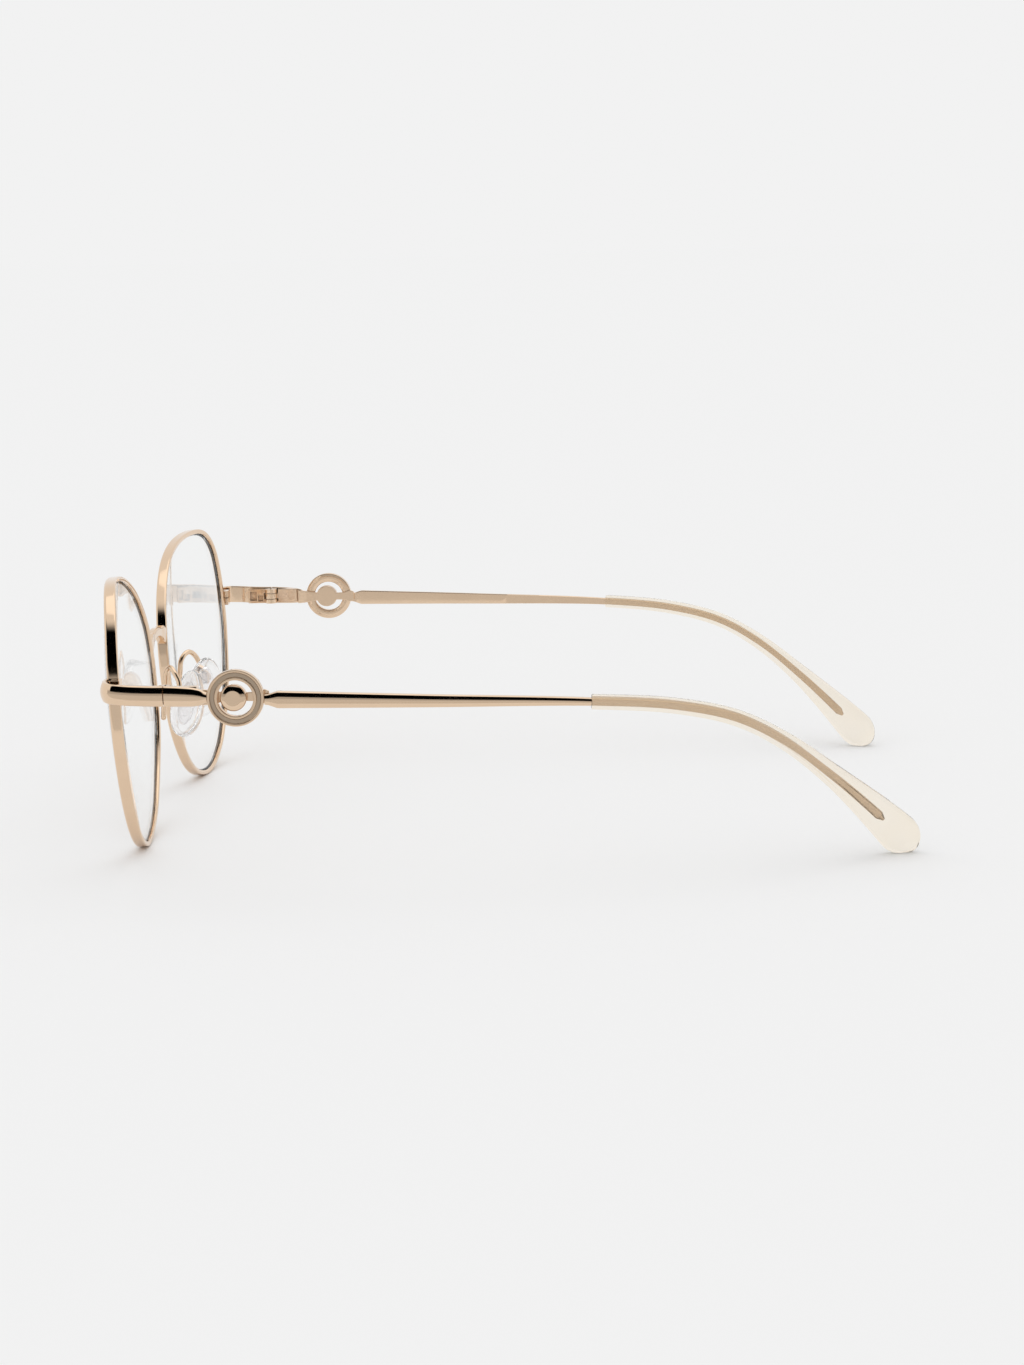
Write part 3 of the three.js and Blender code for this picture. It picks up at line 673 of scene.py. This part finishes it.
def turned(rows, centre, count=120, cap=False):
    """A profile of (radius, x) turned about the X axis through a centre."""
    rings = [[centre + (x, r * c, r * s) for c, s in circle(count)] for r, x in rows]
    return loft(rings, closed=not cap)


def ornament_ring():
    """Two polished lips with a channel for the inlay between them."""
    low, high = CHANNEL
    face = RING_THICK
    soft = 0.13

    def lip(inner, outer):
        rise = arc((inner + soft, face - soft), soft, 180, 90, 5)
        fall = arc((outer - soft, face - soft), soft, 90, 0, 5)
        return rise + fall

    floor_of_channel = [(radius, face - CHANNEL_DEEP) for radius in CHANNEL]
    rows = lip(RING_HOLE_R, low) + floor_of_channel + lip(high, RING_R)
    rows += arc((RING_R - soft, soft), soft, 0, -90)
    rows += arc((RING_HOLE_R + soft, soft), soft, 270, 180)
    return turned(rows, RING_CENTRE)


def ring_inlay():
    """The band in the channel, with its top corners just broken."""
    low = CHANNEL[0] + JOINT_GAP
    high = CHANNEL[1] - JOINT_GAP
    bottom = RING_THICK - CHANNEL_DEEP + JOINT_GAP
    top = bottom + 0.22
    broken = 0.03
    rows = [(low, bottom), (low, top - broken), (low + broken, top)]
    rows += [(high - broken, top), (high, top - broken), (high, bottom)]
    return turned(rows, RING_CENTRE)


def ornament_button():
    """A stud with a flat top, a broad slope round it and a rolled edge."""
    edge = [(0.93, 0), (0.95, 0.4), (0.95, 1.0), (0.935, 1.13), (0.9, 1.22)]
    slope = [(0.78, 1.37), (0.66, 1.5), (0.6, 1.56), (0.56, 1.59)]
    top = [(0.52, 1.6), (0.3, 1.6), (0.04, 1.6)]
    rows = [(BUTTON_R * share, x) for share, x in edge + slope + top]
    return turned(rows, RING_CENTRE + (0, DISC_AT, 0), cap=True)


def ornament_crossbar():
    """The strap behind the ring, with its disc. Rows of (y, half height) before and behind the disc."""
    front = [(5.75, 1.4), (7.2, 1.3)]
    rear = [(16, 0.8), (16.8, 1.2), (17.3, 1.2), (18.0, 0.9)]
    start, stop = (math.degrees(math.asin(half / DISC_R)) for half in (0.85, 0.75))
    disc = arc((RING_CENTRE[1] + DISC_AT, 0), DISC_R, 180 - start, stop, 24)
    top = front + disc + rear
    outline = top + [(y, -half) for y, half in reversed(top)]
    inside = PLATE_INSIDE - JOINT_GAP - CROSSBAR_THICK
    faces_at = (inside, inside + CROSSBAR_THICK)
    return loft([[np.array([x, y, RING_CENTRE[2] + half]) for y, half in outline] for x in faces_at])


# ---- Nose pads -------------------------------------------------------------------------------

PAD_ACROSS = np.array([-math.sin(PAD_SPLAY), -math.cos(PAD_SPLAY), 0])
PAD_PLAN = np.array([-math.cos(PAD_SPLAY), math.sin(PAD_SPLAY), 0])
PAD_UP = UP * math.cos(PAD_LEAN) + PAD_PLAN * math.sin(PAD_LEAN)
PAD_FACE = np.cross(PAD_ACROSS, PAD_UP)


def pad_point(x, y, z):
    """A point of the pad's own frame: x along its pin, y up along it, z towards the nose."""
    return PAD_CENTRE + PAD_ACROSS * x + PAD_UP * y + PAD_FACE * z


def egg(long, wide, z, count=64):
    """An egg-shaped ring, wider towards its lower end."""
    return [pad_point(wide / 2 * c * (1 - 0.16 * s), long / 2 * s, z) for c, s in circle(count)]


def nose_pad():
    """A soft shell round its insert, with the fine moulded steps that show through it."""
    pocket = [(0.13, -0.16), (0.3, -0.16), (0.44, -0.14), (0.5, -0.13), (0.52, -0.2), (0.53, -0.88)]
    mouth = pocket[-1][0]
    back = [(0.72, -0.86), (0.88, -0.9), (0.97, -0.72), (1.0, -0.4), (1.0, 0.1)]
    front = [(0.97, 0.45), (0.9, 0.75), (0.79, 1.0), (0.64, 1.18), (0.48, 1.29), (0.3, 1.36), (0.12, 1.39)]
    rings = [egg(POCKET_LONG * s / mouth, POCKET_WIDE * s / mouth, z) for s, z in pocket]
    rings += [egg(PAD_LONG * s, PAD_WIDE * s, z) for s, z in back + front]
    return loft(rings)


def pad_insert():
    """The hard core: a stepped egg plate with a lug for the screw."""
    steps = [
        (1.0, INSERT_BACK), (1.0, -0.62), (0.93, -0.6), (0.92, -0.46), (0.8, -0.44),
        (0.79, -0.32), (0.62, -0.3), (0.6, -0.22), (0.4, -0.2),
    ]
    points, faces = loft([egg(INSERT_LONG * s, INSERT_WIDE * s, z, 48) for s, z in steps])
    lug_points, lug_faces = pad_lug()
    moved = [tuple(i + len(points) for i in face) for face in lug_faces]
    return np.vstack([points, lug_points]), faces + moved


def pad_lug():
    """A tongue with a round end about the screw; its root is inside the insert."""
    _, y, z = PAD_PIN
    turns = np.linspace(-LUG_TURN, LUG_TURN, 24)
    end = [(y + LUG_R * math.sin(a), z - LUG_R * math.cos(a)) for a in turns]
    root = INSERT_BACK + 0.06
    outline = [(end[0][0], root), *end, (end[-1][0], root)]
    return loft([[pad_point(x, *at) for at in outline] for x in (-LUG_THICK / 2, LUG_THICK / 2)])


def pad_arm():
    """The wire that rises from the rim, turns over and ends under the pad's cup."""
    end = PAD_PIN[2] - LUG_R - BOX_GAP - BOX_WALL - JOINT_GAP - ARM_R
    foot = [(8.45, -11.15, 18.7), (8.3, -11.0, 21.5), (8.2, -10.6, 25.2)]
    turn = [(8.5, -10.2, 27.9), (9.9, -9.1, 29.1), (11.3, -8.1, 28.3)]
    under_cup = [pad_point(0, PAD_PIN[1] + y, end) for y in (1.6, -0.9)]
    return tube(Curve([*foot, *turn, *under_cup]), ARM_R)


def tube(line, radius, steps=90, sides=20):
    """A round wire along a line with rounded ends."""
    along = line.along(0)
    across = np.cross(along, OUT)
    across /= np.linalg.norm(across)
    rings = []
    ends = [(0, 0.35), (0.08, 0.7), (0.2, 0.92), (0.4, 1)]
    stops = ends + [(d, 1) for d in np.linspace(0.8, line.length - 0.8, steps)]
    stops += [(line.length - d, share) for d, share in reversed(ends)]
    for distance, share in stops:
        along = line.along(distance)
        across -= along * (across @ along)
        across /= np.linalg.norm(across)
        other = np.cross(along, across)
        middle = line.point(distance)
        rings.append([middle + (across * c + other * s) * (radius * share) for c, s in circle(sides)])
    return loft(rings)


# ---- Build -----------------------------------------------------------------------------------

CLEAR = [
    *piece("lens", lens(), LENS, "front", crease=25),
    *piece("nose_pad", nose_pad(), SILICONE, "pad_{}", crease=50),
    *piece("pad_insert", pad_insert(), INSERT, "pad_{}", crease=30),
]
for clear_piece in CLEAR:
    clear_piece.visible_shadow = False
    clear_piece.visible_diffuse = False
piece("rim", rim(), GOLD, "front", crease=40)
piece("end_piece", end_piece(), GOLD, "front")
piece("pad_arm", pad_arm(), GOLD, "front", crease=60)
piece("temple_plate", temple_plate(), GOLD, "temple_{}")
piece("temple_rod", temple_rod(), GOLD, "temple_{}")
piece("temple_rod", core_wire(), CORE_GOLD, "temple_{}", part="core_look")
piece("temple_tip", temple_tip(), ACETATE, "temple_{}", crease=50)
piece("ornament_ring", ornament_ring(), GOLD, "temple_{}")
piece("ring_inlay", ring_inlay(), INLAY, "temple_{}")
piece("ornament_button", ornament_button(), GOLD, "temple_{}", crease=30)
piece("ornament_crossbar", ornament_crossbar(), GOLD, "temple_{}", bevel=0.12)
one_piece("bridge", bridge(), GOLD, "front")

# The CAD's own pieces that stay, with their finish and the width of their rounded edges
KEPT = {
    "rim_lock_upper": (HINGE_GOLD_PAINTED_SHADE, 0.12),
    "rim_lock_lower": (HINGE_GOLD_PAINTED_SHADE, 0.12),
    "hinge_front_leaf": (HINGE_GOLD_PAINTED_SHADE, 0.08),
    "hinge_temple_leaf": (HINGE_GOLD_PAINTED_SHADE, 0.08),
    "pad_box": (GOLD, 0.08),
    "rim_lock_screw": (STEEL, 0.05),
    "hinge_screw": (STEEL, 0.05),
    "pad_screw": (STEEL, 0.05),
}
WELD = 0.002
for node, (finish, width) in KEPT.items():
    for side in SIDES:
        obj = frame["nodes"][f"{node}_{side}"]
        obj.data.materials.clear()
        obj.data.materials.append(finish)
        weld = obj.modifiers.new("weld", "WELD")
        weld.merge_threshold = WELD * MM
        round_edges(obj, width, segments=2)


# ---- Studio ----------------------------------------------------------------------------------

# The camera, with its target in the hinge frame
CAM_AZ, CAM_EL, CAM_ROLL = (math.radians(a) for a in (93.29, 9.261, -1.632))
CAM_DISTANCE = 527.46
CAM_TARGET = np.array([0, 55.72, 23.33])
CAM_LENS = 71.72
SENSOR = 36

# The world, the floor and the sun are matched so that the floor runs into the background unseen.
WORLD = 0.887
FLOOR_TONE = 0.9
FLOOR_SIZE = 30
SUN = (WORLD / FLOOR_TONE - WORLD) * math.pi


def camera():
    back = Vector((
        math.sin(CAM_AZ) * math.cos(CAM_EL),
        -math.cos(CAM_AZ) * math.cos(CAM_EL),
        math.sin(CAM_EL),
    ))
    data = bpy.data.cameras.new("camera")
    data.lens = CAM_LENS
    data.sensor_width = SENSOR
    data.clip_start = 0.01
    data.clip_end = 20
    obj = in_scene("camera", data)
    target = Vector((CAM_TARGET + (0, HINGE_Y, 0)) * MM)
    place = Matrix.Translation(target + back * CAM_DISTANCE * MM)
    turn = back.to_track_quat("Z", "Y").to_matrix().to_4x4()
    obj.matrix_world = place @ turn @ Matrix.Rotation(CAM_ROLL, 4, "Z")
    bpy.context.scene.camera = obj


def sheet(name, points, faces, finish):
    """Something of the studio and not of the object."""
    mesh = bpy.data.meshes.new(name)
    mesh.from_pydata(points, [], faces)
    mesh.materials.append(finish)
    obj = in_scene(name, mesh)
    return obj


def rectangle(x0, y0, x1, y1, z):
    return [(x0, y0, z), (x1, y0, z), (x1, y1, z), (x0, y1, z)], [(0, 1, 2, 3)]


def floor():
    finish = material("floor", (FLOOR_TONE,) * 3, 1.0, Specular_IOR_Level=0.0)
    sheet("floor", *rectangle(-FLOOR_SIZE, -FLOOR_SIZE, FLOOR_SIZE, FLOOR_SIZE, 0), finish)


def only_reflected(obj):
    """Only what reflects the thing sees it."""
    obj.visible_camera = False
    obj.visible_diffuse = False
    obj.visible_shadow = False
    obj.visible_transmission = False


def glow(name, tone):
    made = material(name, (0, 0, 0), 1.0, Specular_IOR_Level=0.0, Emission_Strength=1.0)
    made.node_tree.nodes["Principled BSDF"].inputs["Emission Color"].default_value = (tone, tone, tone, 1)
    return made


def card(name, low, high, half_turn, tone, soft, radius=1.2):
    """A curved card on the camera's side, from a low to a high elevation, with soft edges."""
    turns = np.radians(np.linspace(-half_turn, half_turn, 33))
    rises = np.radians(np.linspace(low, high, 25))
    points = []
    for el in rises:
        for a in turns:
            way = (math.cos(el) * math.cos(a), math.cos(el) * math.sin(a), math.sin(el))
            points.append([radius * v for v in way])
    n = len(turns)
    faces = [
        (j * n + i, j * n + i + 1, (j + 1) * n + i + 1, (j + 1) * n + i)
        for j in range(len(rises) - 1)
        for i in range(n - 1)
    ]
    ends = [radius * math.sin(math.radians(v)) for v in (low, high)]
    only_reflected(sheet(name, points, faces, faded(glow(name, tone), ends, soft)))


def low_card():
    """A card low in front of the camera's side, which tones down the flat faces turned to it."""
    near = 0.115
    far = 1.2
    lift = 0.002
    only_reflected(sheet("low_card", *rectangle(near, -far, far, far, lift), glow("low_card", 0.68)))


def faded(made, ends, soft):
    """Fades a glow out over a soft height at its bottom and its top end."""
    tree = made.node_tree
    where = tree.nodes.new("ShaderNodeTexCoord")
    parts = tree.nodes.new("ShaderNodeSeparateXYZ")
    tree.links.new(where.outputs["Object"], parts.inputs["Vector"])
    both = tree.nodes.new("ShaderNodeMath")
    both.operation = "MULTIPLY"
    bottom = (ends[0], ends[0] + soft[0], 0, 1)
    top = (ends[1] - soft[1], ends[1], 1, 0)
    for i, values in enumerate((bottom, top)):
        fade = tree.nodes.new("ShaderNodeMapRange")
        fade.interpolation_type = "SMOOTHSTEP"
        for socket, value in zip(("From Min", "From Max", "To Min", "To Max"), values):
            fade.inputs[socket].default_value = value
        tree.links.new(parts.outputs["Z"], fade.inputs["Value"])
        tree.links.new(fade.outputs["Result"], both.inputs[i])
    tree.links.new(both.outputs["Value"], tree.nodes["Principled BSDF"].inputs["Alpha"])
    return made


def lights():
    world = bpy.data.worlds.new("studio")
    bpy.context.scene.world = world
    world.use_nodes = True
    background = world.node_tree.nodes["Background"]
    background.inputs["Color"].default_value = (1, 1, 1, 1)
    background.inputs["Strength"].default_value = WORLD
    sun = bpy.data.lights.new("soft_sun", "SUN")
    sun.energy = SUN
    sun.angle = math.radians(60)
    obj = in_scene("soft_sun", sun)
    obj.rotation_euler = (math.radians(-10), math.radians(-8), 0)


camera()
floor()
card("black_card", 9, 62, 58, 0.0, (0.09, 0.2))
card("grey_card", -1, 16, 75, 0.5, (0.01, 0.1), radius=1.25)
low_card()
card("top_card", 72, 90, 180, 1.7, (0.1, 0.0), radius=1.3)
lights()
bpy.context.scene.view_settings.view_transform = "Standard"
